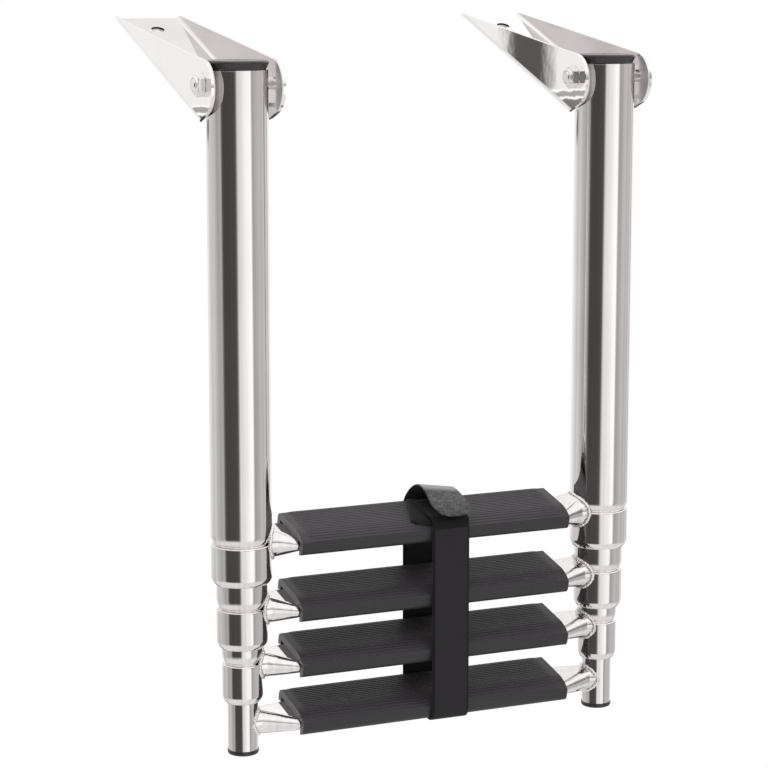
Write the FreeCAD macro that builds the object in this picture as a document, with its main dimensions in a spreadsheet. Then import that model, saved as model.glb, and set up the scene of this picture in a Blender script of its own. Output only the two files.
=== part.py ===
import FreeCAD, Part
import math
import os

import Sketcher

# A telescoping boat boarding ladder of polished stainless steel tube, shown pushed together and strapped.
# X runs across the ladder, Z up along the posts and Y away from the climber, towards the boat.
# The origin lies on the underside of the left mounting bracket, midway between its two bolt holes.

# Driving dimensions in millimetres, angles in degrees.
SIZES = {
    # the four tubes of a post, each sliding in the one above
    "post_spacing": 252.0,
    "tube_wall": 1.2,
    "tube_1_diameter": 38.1,
    "tube_2_diameter": 31.8,
    "tube_3_diameter": 25.4,
    "tube_4_diameter": 19.05,
    "tube_1_length": 290.8,
    # how far below the rim the tops of the inner tubes end, clear of the pivot bolt
    "tube_2_top_gap": 22.8,
    "tube_3_top_gap": 25.3,
    "tube_4_top_gap": 27.0,
    "neck_height": 6.5,
    "neck_drop": 2.0,
    "slide_clearance": 0.25,
    # how far each foot of a tube lies below the one above it when the ladder is pushed together
    "stack_2": 40.9,
    "stack_3": 35.3,
    "stack_4": 55.6,
    # the collar that guides the next tube
    "collar_height": 25.0,
    "collar_top_round": 1.2,
    "collar_foot_height": 5.0,
    "collar_foot_drop": 2.2,
    # plugs
    "cap_height": 5.7,
    "cap_edge": 1.6,
    "cap_overhang": 0.3,
    "cap_plug_depth": 3.6,
    "cap_plug_gap": 0.3,
    "cap_hole_diameter": 4.0,
    "cap_hole_depth": 2.5,
    "end_plug_height": 3.0,
    "end_plug_edge": 1.4,
    "end_plug_overhang": 0.35,
    "end_plug_depth": 12.0,
    # crossbars, a round tube pressed flat between its two mouths
    "bar_width": 30.0,
    "bar_thickness": 8.0,
    "bar_flat_inset": 0.5,
    "bar_lift_1": 0.3,
    "bar_lift_2": -1.2,
    "bar_lift_3": -1.5,
    "bar_lift_4": 16.9,
    "mouth_1_width": 26.0,
    "mouth_2_width": 24.0,
    "mouth_3_width": 20.5,
    "mouth_4_width": 17.6,
    "mouth_1_height": 19.0,
    "mouth_2_height": 17.6,
    "mouth_3_height": 17.0,
    "mouth_4_height": 16.4,
    # tread covers
    "tread_length": 187.0,
    "tread_front": 20.0,
    "tread_back": 22.0,
    "tread_plate": 4.4,
    "tread_wall": 4.2,
    "tread_nose_radius": 25.0,
    "tread_nose_turn": 30.0,
    "tread_corner_radius": 2.0,
    "tread_back_round": 4.5,
    "tread_front_lip": 13.3,
    "tread_back_lip": 8.2,
    "tread_tilt": 12.4,
    "tread_seat_gap": 0.1,
    # strap loop round the four treads
    "strap_width": 25.4,
    "strap_thickness": 1.5,
    "strap_offset": 7.5,
    "strap_front": 21.0,
    "strap_back": 22.2,
    "strap_shoulder": 3.6,
    "strap_rise": 11.5,
    "strap_bottom_gap": 0.3,
    "strap_corner_radius": 4.5,
    # brackets, bent from sheet
    "bracket_sheet": 2.5,
    "ear_gap_left": 0.6,
    "ear_gap_right": 4.0,
    "bracket_reach": 168.5,
    "bracket_drop": 25.7,
    "bracket_end_radius": 16.5,
    "bracket_end_drop": 2.0,
    "bracket_foot_start": 2.0,
    "bracket_tip_height": 3.8,
    "bracket_bend_radius": 5.5,
    "bracket_tilt": 20.0,
    "web_start": 24.0,
    "mount_hole_diameter": 8.5,
    "mount_hole_edge": 20.0,
    "mount_hole_spacing": 90.0,
    # pivot bolts, each with one lock nut
    "pivot_below_rim": 8.5,
    "bolt_diameter": 8.0,
    "bolt_clearance": 0.1,
    "bolt_head_diameter": 14.0,
    "bolt_head_height": 4.4,
    "bolt_head_edge": 1.2,
    "bolt_chamfer": 0.9,
    "bolt_tail": 0.3,
    "nut_across_flats": 13.0,
    "nut_height": 4.6,
    "nut_chamfer": 1.2,
    "nut_collar_diameter": 10.8,
    "nut_collar_height": 1.4,
    "nut_collar_round": 0.8,
    "nut_bore_clearance": 0.05,
}

doc = FreeCAD.newDocument("boarding_ladder")
sheet = doc.addObject("Spreadsheet::Sheet", "Sizes")
for row, (alias, size) in enumerate(SIZES.items(), start=1):
    sheet.set(f"A{row}", alias)
    sheet.set(f"B{row}", str(size))
    sheet.setAlias(f"B{row}", alias)
doc.recompute()

nodes = {}


def formula(text):
    """Put the sheet's name before each size in a formula."""
    words = []
    for word in text.replace("(", "( ").replace(")", " )").split():
        words.append(f"Sizes.{word}" if word in SIZES else word)
    return " ".join(words)


def value(text):
    return float(sheet.evalExpression(formula(text)))


def new_body(name):
    body = doc.addObject("PartDesign::Body", f"{name}_body")
    body.Label = f"{name}_body"
    return body


def keep(name, piece):
    piece.Label = name
    nodes[name] = piece


def origin_feature(body, role):
    return next(feature for feature in body.Origin.OriginFeatures if feature.Role == role)


def new_sketch(body, name, role, offset=None):
    """An empty sketch on one of the body's origin planes, moved along the plane's normal if asked."""
    sketch = body.newObject("Sketcher::SketchObject", name)
    sketch.AttachmentSupport = [(origin_feature(body, role), "")]
    sketch.MapMode = "FlatFace"
    if offset is not None:
        sketch.AttachmentOffset = FreeCAD.Placement(FreeCAD.Vector(0, 0, value(offset)), FreeCAD.Rotation())
        sketch.setExpression("AttachmentOffset.Base.z", formula(offset))
    return sketch


def fix_point(sketch, geometry, point, across, up):
    """Tie one point of the sketch to the origin with two sizes."""
    for kind, axis, text in (("DistanceX", -2, across), ("DistanceY", -1, up)):
        if text == "0":
            sketch.addConstraint(Sketcher.Constraint("PointOnObject", geometry, point, axis))
        else:
            distance = Sketcher.Constraint(kind, -1, 1, geometry, point, value(text))
            index = sketch.addConstraint(distance)
            sketch.setExpression(f"Constraints[{index}]", formula(text))


def draw_outline(sketch, corners):
    """Closed outline through corners (across, up), each coordinate a formula.

    A corner with three more entries (turn, centre across, centre up) starts an arc to the next corner.
    """
    count = len(corners)
    ends = []
    for index, corner in enumerate(corners):
        start = (value(corner[0]), value(corner[1]))
        following = corners[(index + 1) % count]
        finish = (value(following[0]), value(following[1]))
        if len(corner) == 2:
            line = Part.LineSegment(FreeCAD.Vector(*start, 0), FreeCAD.Vector(*finish, 0))
            geometry = sketch.addGeometry(line, False)
            ends.append((geometry, 1, 2))
        else:
            turn, centre = corner[2], (value(corner[3]), value(corner[4]))
            radius = math.dist(start, centre)
            angles = [math.atan2(p[1] - centre[1], p[0] - centre[0]) for p in (start, finish)]
            if turn == "right":
                angles.reverse()
            if angles[1] < angles[0]:
                angles[1] += 2 * math.pi
            circle = Part.Circle(FreeCAD.Vector(*centre, 0), FreeCAD.Vector(0, 0, 1), radius)
            geometry = sketch.addGeometry(Part.ArcOfCircle(circle, *angles), False)
            ends.append((geometry, 1, 2) if turn == "left" else (geometry, 2, 1))
            chord = (abs(finish[0] - start[0]), abs(finish[1] - start[1]))
            kind, text = ("DistanceX", corner[3]) if chord[1] > chord[0] else ("DistanceY", corner[4])
            if text == "0":
                axis = -2 if kind == "DistanceX" else -1
                sketch.addConstraint(Sketcher.Constraint("PointOnObject", geometry, 3, axis))
            else:
                index_of = sketch.addConstraint(Sketcher.Constraint(kind, -1, 1, geometry, 3, value(text)))
                sketch.setExpression(f"Constraints[{index_of}]", formula(text))
    for index in range(count):
        here, after = ends[index], ends[(index + 1) % count]
        sketch.addConstraint(Sketcher.Constraint("Coincident", here[0], here[2], after[0], after[1]))
        fix_point(sketch, here[0], here[1], corners[index][0], corners[index][1])


def draw_circle(sketch, across, up, diameter):
    centre = FreeCAD.Vector(value(across), value(up), 0)
    circle = Part.Circle(centre, FreeCAD.Vector(0, 0, 1), value(diameter) / 2)
    geometry = sketch.addGeometry(circle, False)
    fix_point(sketch, geometry, 3, across, up)
    index = sketch.addConstraint(Sketcher.Constraint("Diameter", geometry, value(diameter)))
    sketch.setExpression(f"Constraints[{index}]", formula(diameter))


def pad_both_ways(body, name, sketch, length):
    pad = body.newObject("PartDesign::Pad", name)
    pad.Profile = sketch
    pad.SideType = "Symmetric"
    pad.Length = value(length)
    pad.setExpression("Length", formula(length))
    return pad


def cut_through(body, name, sketch):
    pocket = body.newObject("PartDesign::Pocket", name)
    pocket.Profile = sketch
    pocket.SideType = "Symmetric"
    pocket.Type = "ThroughAll"
    return pocket


def turn_about_z(body, name, corners):
    sketch = new_sketch(body, f"{name}_section", "XZ_Plane")
    draw_outline(sketch, corners)
    turned = body.newObject("PartDesign::Revolution", f"{name}_turned")
    turned.Profile = sketch
    turned.ReferenceAxis = (origin_feature(body, "Z_Axis"), [""])
    turned.Angle = 360
    return turned


def place(piece, across, back, up):
    for axis, text in (("x", across), ("y", back), ("z", up)):
        piece.setExpression(f"Placement.Base.{axis}", formula(text))


def tilt_about_x(piece, angle):
    rotation = FreeCAD.Rotation(FreeCAD.Vector(1, 0, 0), value(angle))
    piece.Placement = FreeCAD.Placement(FreeCAD.Vector(), rotation)
    piece.setExpression("Placement.Rotation.Angle", f"( {formula(angle)} ) * 1 deg")


# Places shared by several pieces. The pivot lies above and in front of the origin.
SIDES = ("left", "right")
BRACKET_INNER = "( tube_1_diameter + ear_gap_left + ear_gap_right )"
BRACKET_WIDTH = f"( {BRACKET_INNER} + 2 * bracket_sheet )"
BRACKET_X = {"left": "0", "right": "post_spacing"}
POST_X = {side: f"( {BRACKET_X[side]} + ( ear_gap_left - ear_gap_right ) / 2 )" for side in SIDES}
MIDDLE_X = f"( ( {POST_X['left']} + {POST_X['right']} ) / 2 )"
MOUNT_FAR = "( bracket_reach - mount_hole_edge )"
MOUNT_MIDDLE = f"( {MOUNT_FAR} - mount_hole_spacing / 2 )"
PIVOT_Y = f"( - {MOUNT_MIDDLE} * cos( bracket_tilt ) - bracket_drop * sin( bracket_tilt ) )"
PIVOT_Z = f"( bracket_drop * cos( bracket_tilt ) - {MOUNT_MIDDLE} * sin( bracket_tilt ) )"
RIM_Z = f"( {PIVOT_Z} + pivot_below_rim )"
FOOT_Z = {
    1: f"( {RIM_Z} - tube_1_length )",
    2: f"( {RIM_Z} - tube_1_length - stack_2 )",
    3: f"( {RIM_Z} - tube_1_length - stack_2 - stack_3 )",
    4: f"( {RIM_Z} - tube_1_length - stack_2 - stack_3 - stack_4 )",
}
BAR_Z = {number: f"( {FOOT_Z[number]} + bar_lift_{number} )" for number in FOOT_Z}
TUBE_LENGTH = {number: f"( {RIM_Z} - tube_{number}_top_gap - {FOOT_Z[number]} )" for number in (2, 3, 4)}
TUBE_LENGTH[1] = "tube_1_length"
TREAD_TOP = "( bar_thickness / 2 + tread_seat_gap + tread_plate )"


def arc_radius(height, drop):
    """Radius of an arc that leaves a straight wall and moves in by drop over height."""
    return f"( ( {height} * {height} + {drop} * {drop} ) / ( 2 * {drop} ) )"


def bracket(side):
    """U bracket bent from one sheet: two tapered ears joined by a web along their bottom edges."""
    name = f"{side}_bracket"
    body = new_body(name)
    centre_z = "( - bracket_end_drop )"
    tip_z = "( bracket_tip_height - bracket_drop )"
    depth = "( bracket_drop - bracket_end_drop )"
    fall = f"( {depth} - bracket_tip_height )"
    distance = f"sqrt( bracket_reach * bracket_reach + {fall} * {fall} )"
    taper = f"( atan( {fall} / bracket_reach ) + asin( bracket_end_radius / {distance} ) )"
    tangent_y = f"( bracket_end_radius * sin( {taper} ) )"
    tangent_z = f"( {centre_z} + bracket_end_radius * cos( {taper} ) )"
    to_foot = f"sqrt( {depth} * {depth} + bracket_foot_start * bracket_foot_start )"
    slant = f"( acos( bracket_end_radius / {to_foot} ) - atan( bracket_foot_start / {depth} ) )"
    slant_y = f"( - bracket_end_radius * sin( {slant} ) )"
    slant_z = f"( {centre_z} - bracket_end_radius * cos( {slant} ) )"
    ears = new_sketch(body, f"{name}_side", "YZ_Plane")
    draw_outline(ears, [
        ("bracket_foot_start", "( - bracket_drop )"),
        ("bracket_reach", "( - bracket_drop )"),
        ("bracket_reach", tip_z),
        (tangent_y, tangent_z, "left", "0", centre_z),
        (slant_y, slant_z),
    ])
    pad_both_ways(body, f"{name}_block", ears, BRACKET_WIDTH)

    half = f"( {BRACKET_WIDTH} / 2 )"
    inner = f"( {BRACKET_INNER} / 2 )"
    bend_x = f"( {half} - bracket_bend_radius )"
    bend_z = "( bracket_bend_radius - bracket_drop )"
    floor_z = "( bracket_sheet - bracket_drop )"
    above_z = "( 3 * bracket_end_radius )"
    channel = new_sketch(body, f"{name}_channel", "XZ_Plane")
    draw_outline(channel, [
        (f"( - {inner} )", above_z),
        (f"( - {inner} )", bend_z, "left", f"( - {bend_x} )", bend_z),
        (f"( - {bend_x} )", floor_z),
        (bend_x, floor_z, "left", bend_x, bend_z),
        (inner, bend_z),
        (inner, above_z),
    ])
    cut_through(body, f"{name}_channel_cut", channel)

    corners = new_sketch(body, f"{name}_bends", "XZ_Plane")
    draw_outline(corners, [
        (half, "( - bracket_drop )"),
        (half, bend_z, "right", bend_x, bend_z),
        (bend_x, "( - bracket_drop )"),
    ])
    draw_outline(corners, [
        (f"( - {half} )", "( - bracket_drop )"),
        (f"( - {half} )", bend_z, "left", f"( - {bend_x} )", bend_z),
        (f"( - {bend_x} )", "( - bracket_drop )"),
    ])
    cut_through(body, f"{name}_bends_cut", corners)

    mouth = new_sketch(body, f"{name}_mouth", "XY_Plane")
    draw_outline(mouth, [
        (f"( - {inner} )", "( - 2 * bracket_end_radius )"),
        (inner, "( - 2 * bracket_end_radius )"),
        (inner, "web_start"),
        (f"( - {inner} )", "web_start"),
    ])
    cut_through(body, f"{name}_mouth_cut", mouth)

    mounts = new_sketch(body, f"{name}_mount_holes", "XY_Plane")
    draw_circle(mounts, "0", f"( {MOUNT_FAR} - mount_hole_spacing )", "mount_hole_diameter")
    draw_circle(mounts, "0", MOUNT_FAR, "mount_hole_diameter")
    cut_through(body, f"{name}_mount_cut", mounts)

    pivot = new_sketch(body, f"{name}_pivot_holes", "YZ_Plane")
    draw_circle(pivot, "0", "0", "( bolt_diameter + bolt_clearance )")
    cut_through(body, f"{name}_pivot_cut", pivot)

    tilt_about_x(body, "bracket_tilt")
    place(body, BRACKET_X[side], PIVOT_Y, PIVOT_Z)
    keep(name, body)


def pivot_bolt(side):
    """Button-head bolt through both ears and the post, head on the right-hand ear."""
    name = f"{side}_pivot_bolt"
    body = new_body(name)
    tail_z = f"( - {BRACKET_WIDTH} / 2 - nut_height - nut_collar_height - bolt_tail )"
    head_z = f"( {BRACKET_WIDTH} / 2 )"
    head_rise = "( bolt_head_height - bolt_head_edge )"
    crown = arc_radius("( bolt_head_diameter / 2 )", head_rise)
    shank = "( bolt_diameter / 2 )"
    turn_about_z(body, name, [
        ("0", tail_z),
        (f"( {shank} - bolt_chamfer )", tail_z),
        (shank, f"( {tail_z} + bolt_chamfer )"),
        (shank, head_z),
        ("( bolt_head_diameter / 2 )", head_z),
        ("( bolt_head_diameter / 2 )", f"( {head_z} + bolt_head_edge )", "left",
         "0", f"( {head_z} + bolt_head_height - {crown} )"),
        ("0", f"( {head_z} + bolt_head_height )"),
    ])
    body.Placement = FreeCAD.Placement(FreeCAD.Vector(), FreeCAD.Rotation(FreeCAD.Vector(0, 1, 0), 90))
    place(body, BRACKET_X[side], PIVOT_Y, PIVOT_Z)
    keep(name, body)


def lock_nut(side):
    """Hexagon nut with chamfered corners and a round collar for its locking insert."""
    name = f"{side}_lock_nut"
    body = new_body(name)
    seat = f"( - {BRACKET_WIDTH} / 2 )"
    shoulder = f"( {seat} - nut_height )"
    end = f"( {shoulder} - nut_collar_height )"
    bore = "( bolt_diameter / 2 + nut_bore_clearance )"
    corner = "( nut_across_flats / 2 / cos( 30 ) )"
    slope = "( 2 * nut_chamfer * tan( 30 ) )"
    collar_edge = "( nut_collar_diameter / 2 )"
    round_z = f"( {end} + nut_collar_round )"
    turn_about_z(body, name, [
        (bore, seat),
        (bore, end),
        (f"( {collar_edge} - nut_collar_round )", end, "left",
         f"( {collar_edge} - nut_collar_round )", round_z),
        (collar_edge, round_z),
        (collar_edge, shoulder),
        (f"( {corner} - nut_chamfer )", shoulder),
        (f"( {corner} + nut_chamfer )", f"( {shoulder} + {slope} )"),
        (f"( {corner} + nut_chamfer )", f"( {seat} - {slope} )"),
        (f"( {corner} - nut_chamfer )", seat),
    ])
    along_x = FreeCAD.Rotation(FreeCAD.Vector(0, 1, 0), 90)
    body.Placement = FreeCAD.Placement(FreeCAD.Vector(), along_x)
    place(body, BRACKET_X[side], PIVOT_Y, PIVOT_Z)
    prism = doc.addObject("Part::Prism", f"{name}_hexagon")
    prism.Polygon = 6
    prism.setExpression("Circumradius", formula(corner))
    prism.setExpression("Height", formula("( 4 * nut_height )"))
    prism.Placement = FreeCAD.Placement(FreeCAD.Vector(), along_x)
    place(prism, f"( {BRACKET_X[side]} - {BRACKET_WIDTH} / 2 - 3 * nut_height )", PIVOT_Y, PIVOT_Z)
    finished = doc.addObject("Part::Common", f"{name}_finished")
    finished.Base = body
    finished.Tool = prism
    keep(name, finished)


def necked_tube(side, number):
    """Tube whose foot is drawn in to guide the next tube; tube 1 also takes the pivot bolt."""
    name = f"{side}_tube_{number}"
    body = new_body(name)
    outer = f"( tube_{number}_diameter / 2 )"
    bore = f"( tube_{number}_diameter / 2 - tube_wall )"
    foot = f"( {outer} - neck_drop )"
    guide = f"( tube_{number + 1}_diameter / 2 + slide_clearance )"
    outer_radius = arc_radius("neck_height", "neck_drop")
    inner_radius = arc_radius("neck_height", f"( {bore} - {guide} )")
    top = TUBE_LENGTH[number]
    turn_about_z(body, name, [
        (foot, "0", "left", f"( {outer} - {outer_radius} )", "neck_height"),
        (outer, "neck_height"),
        (outer, top),
        (bore, top),
        (bore, "neck_height", "right", f"( {bore} - {inner_radius} )", "neck_height"),
        (guide, "0"),
    ])
    if number == 1:
        holes = new_sketch(body, f"{name}_bolt_holes", "YZ_Plane")
        draw_circle(holes, "0", f"( {top} - pivot_below_rim )", "( bolt_diameter + 2 * bolt_clearance )")
        cut_through(body, f"{name}_bolt_cut", holes)
    place(body, POST_X[side], PIVOT_Y, FOOT_Z[number])
    keep(name, body)


def plain_tube(side):
    """The lowest and thinnest tube, closed by a plug."""
    name = f"{side}_tube_4"
    body = new_body(name)
    outer = "( tube_4_diameter / 2 )"
    bore = "( tube_4_diameter / 2 - tube_wall )"
    turn_about_z(body, name, [(bore, "0"), (outer, "0"), (outer, TUBE_LENGTH[4]), (bore, TUBE_LENGTH[4])])
    place(body, POST_X[side], PIVOT_Y, FOOT_Z[4])
    keep(name, body)


def collar(side, number):
    """Ring under a tube's foot, the size of that tube outside and bored for the next tube."""
    name = f"{side}_collar_{number}"
    body = new_body(name)
    outer = f"( tube_{number}_diameter / 2 )"
    bore = f"( tube_{number + 1}_diameter / 2 + slide_clearance )"
    radius = arc_radius("collar_foot_height", "collar_foot_drop")
    foot_start = "( collar_foot_height - collar_height )"
    turn_about_z(body, name, [
        (bore, "0"),
        (f"( {outer} - collar_top_round )", "0", "right",
         f"( {outer} - collar_top_round )", "( - collar_top_round )"),
        (outer, "( - collar_top_round )"),
        (outer, foot_start, "right", f"( {outer} - {radius} )", foot_start),
        (f"( {outer} - collar_foot_drop )", "( - collar_height )"),
        (bore, "( - collar_height )"),
    ])
    place(body, POST_X[side], PIVOT_Y, FOOT_Z[number])
    keep(name, body)


def cap(side):
    """Moulded plug in the top of a post: a disc that tapers in to the rim, with a moulding dimple."""
    name = f"{side}_cap"
    body = new_body(name)
    plug = "( tube_1_diameter / 2 - tube_wall - cap_plug_gap )"
    edge = "( tube_1_diameter / 2 + cap_overhang )"
    shoulder = "( cap_height - cap_edge )"
    dimple = "( cap_hole_diameter / 2 )"
    turn_about_z(body, name, [
        ("0", "( - cap_plug_depth )"),
        (plug, "( - cap_plug_depth )"),
        (plug, "0"),
        (edge, shoulder, "left", f"( {edge} - cap_edge )", shoulder),
        (f"( {edge} - cap_edge )", "cap_height"),
        (dimple, "cap_height"),
        (dimple, "( cap_height - cap_hole_depth )"),
        ("0", "( cap_height - cap_hole_depth )"),
    ])
    place(body, POST_X[side], PIVOT_Y, RIM_Z)
    keep(name, body)


def end_plug(side):
    """Moulded foot plug of the lowest tube."""
    name = f"{side}_end_plug"
    body = new_body(name)
    edge = "( tube_4_diameter / 2 + end_plug_overhang )"
    plug = "( tube_4_diameter / 2 - tube_wall )"
    inset = f"( {edge} - end_plug_edge )"
    rise = "( end_plug_edge - end_plug_height )"
    turn_about_z(body, name, [
        ("0", "( - end_plug_height )"),
        (inset, "( - end_plug_height )", "left", inset, rise),
        (edge, rise),
        (edge, "0"),
        (plug, "0"),
        (plug, "end_plug_depth"),
        ("0", "end_plug_depth"),
    ])
    place(body, POST_X[side], PIVOT_Y, FOOT_Z[4])
    keep(name, body)


def draw_slot(sketch, width, height):
    """Flattened tube section: two straight sides and two half-round edges."""
    straight = f"( {width} / 2 - {height} / 2 )"
    half = f"( {height} / 2 )"
    draw_outline(sketch, [
        (f"( - {straight} )", f"( - {half} )"),
        (straight, f"( - {half} )", "left", straight, "0"),
        (straight, half),
        (f"( - {straight} )", half, "left", f"( - {straight} )", "0"),
    ])


def crossbar(number):
    """Tube pressed flat under the tread, its ends opened into mouths cut to saddle the posts."""
    name = f"crossbar_{number}"
    body = new_body(name)
    half_spacing = "( post_spacing / 2 )"
    mouth_x = f"( {half_spacing} - tube_{number}_diameter / 2 )"
    flat_length = "( tread_length - 2 * bar_flat_inset )"
    flat = new_sketch(body, f"{name}_flat_section", "YZ_Plane")
    draw_slot(flat, "bar_width", "bar_thickness")
    pad_both_ways(body, f"{name}_flat", flat, flat_length)
    sections = []
    for label, offset, width, height in (
        ("start", f"( {flat_length} / 2 )", "bar_width", "bar_thickness"),
        ("mouth", mouth_x, f"mouth_{number}_width", f"mouth_{number}_height"),
        ("end", f"( {half_spacing} - tube_wall )", f"mouth_{number}_width", f"mouth_{number}_height"),
    ):
        section = new_sketch(body, f"{name}_{label}", "YZ_Plane", offset)
        draw_slot(section, width, height)
        sections.append(section)
    cone = body.newObject("PartDesign::AdditiveLoft", f"{name}_cone")
    cone.Profile = sections[0]
    cone.Sections = sections[1:]
    cone.Ruled = True
    doc.recompute()
    other = body.newObject("PartDesign::Mirrored", f"{name}_other_cone")
    other.Originals = [cone]
    other.MirrorPlane = (origin_feature(body, "YZ_Plane"), [""])
    body.Tip = other
    tilt_about_x(body, "tread_tilt")
    place(body, MIDDLE_X, PIVOT_Y, BAR_Z[number])
    posts = []
    for side in SIDES:
        post = doc.addObject("Part::Cylinder", f"{name}_{side}_saddle")
        post.setExpression("Radius", formula(f"( tube_{number}_diameter / 2 )"))
        post.setExpression("Height", formula("( 4 * bar_width )"))
        # the left cylinder's seam is turned away from the bar
        turn = FreeCAD.Rotation(180 if side == "left" else 0, 0, 0)
        post.Placement = FreeCAD.Placement(FreeCAD.Vector(), turn)
        place(post, POST_X[side], PIVOT_Y, f"( {BAR_Z[number]} - 2 * bar_width )")
        posts.append(post)
    saddles = doc.addObject("Part::MultiFuse", f"{name}_saddles")
    saddles.Shapes = posts
    finished = doc.addObject("Part::Cut", f"{name}_finished")
    finished.Base = body
    finished.Tool = saddles
    keep(name, finished)


def tread(number):
    """Moulded cover clipped over the crossbar: flat top, long rounded nose, deep front lip, curled edge."""
    name = f"tread_{number}"
    body = new_body(name)
    bend = "( tread_nose_radius - tread_corner_radius )"
    corner_y = "( tread_corner_radius - tread_front )"
    corner_z = f"( {bend} * cos( tread_nose_turn ) - tread_nose_radius )"
    nose_y = f"( {corner_y} + {bend} * sin( tread_nose_turn ) )"
    meet_y = f"( {nose_y} - tread_nose_radius * sin( tread_nose_turn ) )"
    meet_z = "( tread_nose_radius * cos( tread_nose_turn ) - tread_nose_radius )"
    front_inner = "( tread_wall - tread_front )"
    back_inner = "( tread_back - tread_wall )"
    curl_z = "( tread_wall - tread_front_lip )"
    round_y = "( tread_back - tread_back_round )"
    sketch = new_sketch(body, f"{name}_section", "YZ_Plane")
    draw_outline(sketch, [
        (front_inner, "( - tread_front_lip )", "right", front_inner, curl_z),
        ("( - tread_front )", curl_z),
        ("( - tread_front )", corner_z, "right", corner_y, corner_z),
        (meet_y, meet_z, "right", nose_y, "( - tread_nose_radius )"),
        (nose_y, "0"),
        (round_y, "0", "right", round_y, "( - tread_back_round )"),
        ("tread_back", "( - tread_back_round )"),
        ("tread_back", "( - tread_back_lip )"),
        (back_inner, "( - tread_back_lip )"),
        (back_inner, "( - tread_plate )"),
        (front_inner, "( - tread_plate )"),
    ])
    pad_both_ways(body, f"{name}_pad", sketch, "tread_length")
    tilt_about_x(body, "tread_tilt")
    lift_y = f"( {PIVOT_Y} - {TREAD_TOP} * sin( tread_tilt ) )"
    lift_z = f"( {BAR_Z[number]} + {TREAD_TOP} * cos( tread_tilt ) )"
    place(body, MIDDLE_X, lift_y, lift_z)
    keep(name, body)


def strap():
    """Webbing loop round the four treads: arched over the top one, pulled round the lowest one's lip."""
    name = "strap"
    body = new_body(name)
    slope = "tan( tread_tilt )"
    drop = f"( {BAR_Z[1]} - {BAR_Z[4]} )"
    lip_z = f"( ( tread_front_lip - {TREAD_TOP} ) * cos( tread_tilt ) + tread_front * sin( tread_tilt ) )"
    lip_y = f"( tread_front * cos( tread_tilt ) - ( tread_front_lip - {TREAD_TOP} ) * sin( tread_tilt ) )"
    clear = "( strap_bottom_gap / cos( tread_tilt ) )"
    bottom = f"( - {drop} - {lip_z} - ( strap_front - {lip_y} ) * {slope} - {clear} )"
    corner_y = "( strap_corner_radius - strap_front )"
    corner_z = (f"( {bottom} + strap_corner_radius"
                f" * ( ( 1 + sin( tread_tilt ) ) * {slope} + cos( tread_tilt ) ) )")
    shoulder = f"( {TREAD_TOP} / cos( tread_tilt ) + strap_shoulder )"
    half = "( ( strap_front + strap_back ) / 2 )"
    arch_y = "( ( strap_back - strap_front ) / 2 )"
    arch = f"( ( {half} * {half} + strap_rise * strap_rise ) / ( 2 * strap_rise ) )"
    arch_z = f"( {shoulder} + strap_rise - {arch} )"
    sketch = new_sketch(body, f"{name}_section", "YZ_Plane")
    for offset in ("0", "strap_thickness"):
        radius = f"( strap_corner_radius + {offset} )"
        turn_z = f"( {corner_z} - {radius} * cos( tread_tilt ) )"
        front = f"( - strap_front - {offset} )"
        back = f"( strap_back + {offset} )"
        back_z = f"( {bottom} + ( {back} + strap_front ) * {slope} - {offset} / cos( tread_tilt ) )"
        reach = f"( {half} + {offset} )"
        round_z = f"( {arch_z} + sqrt( ( {arch} + {offset} ) * ( {arch} + {offset} ) - {reach} * {reach} ) )"
        draw_outline(sketch, [
            (f"( {corner_y} + {radius} * sin( tread_tilt ) )", turn_z),
            (back, back_z),
            (back, round_z, "left", arch_y, arch_z),
            (front, round_z),
            (front, corner_z, "left", corner_y, corner_z),
        ])
    pad_both_ways(body, f"{name}_pad", sketch, "strap_width")
    place(body, f"( {MIDDLE_X} + strap_offset )", PIVOT_Y, BAR_Z[1])
    keep(name, body)


for side in SIDES:
    bracket(side)
    pivot_bolt(side)
    lock_nut(side)
    cap(side)
    for number in (1, 2, 3):
        necked_tube(side, number)
        collar(side, number)
    plain_tube(side)
    end_plug(side)
for number in (1, 2, 3, 4):
    crossbar(number)
    tread(number)
strap()

doc.recompute()
for item in doc.Objects:
    if "Invalid" in item.State or "Error" in item.State:
        raise RuntimeError(f"{item.Label}: {item.State}")
os.makedirs("parts", exist_ok=True)
for name, piece in nodes.items():
    shape = piece.Shape
    if shape.isNull() or not shape.isValid() or not shape.Solids:
        raise RuntimeError(f"{name} has no valid solid")
    shape.exportStep(f"parts/{name}.step")
    box = shape.BoundBox
    print(f"{name:18} {len(shape.Solids)} {shape.Volume / 1000:8.2f} cm3 "
          f"x {box.XMin:8.2f} {box.XMax:8.2f}  y {box.YMin:8.2f} {box.YMax:8.2f}  "
          f"z {box.ZMin:8.2f} {box.ZMax:8.2f}")
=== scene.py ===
import math

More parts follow.
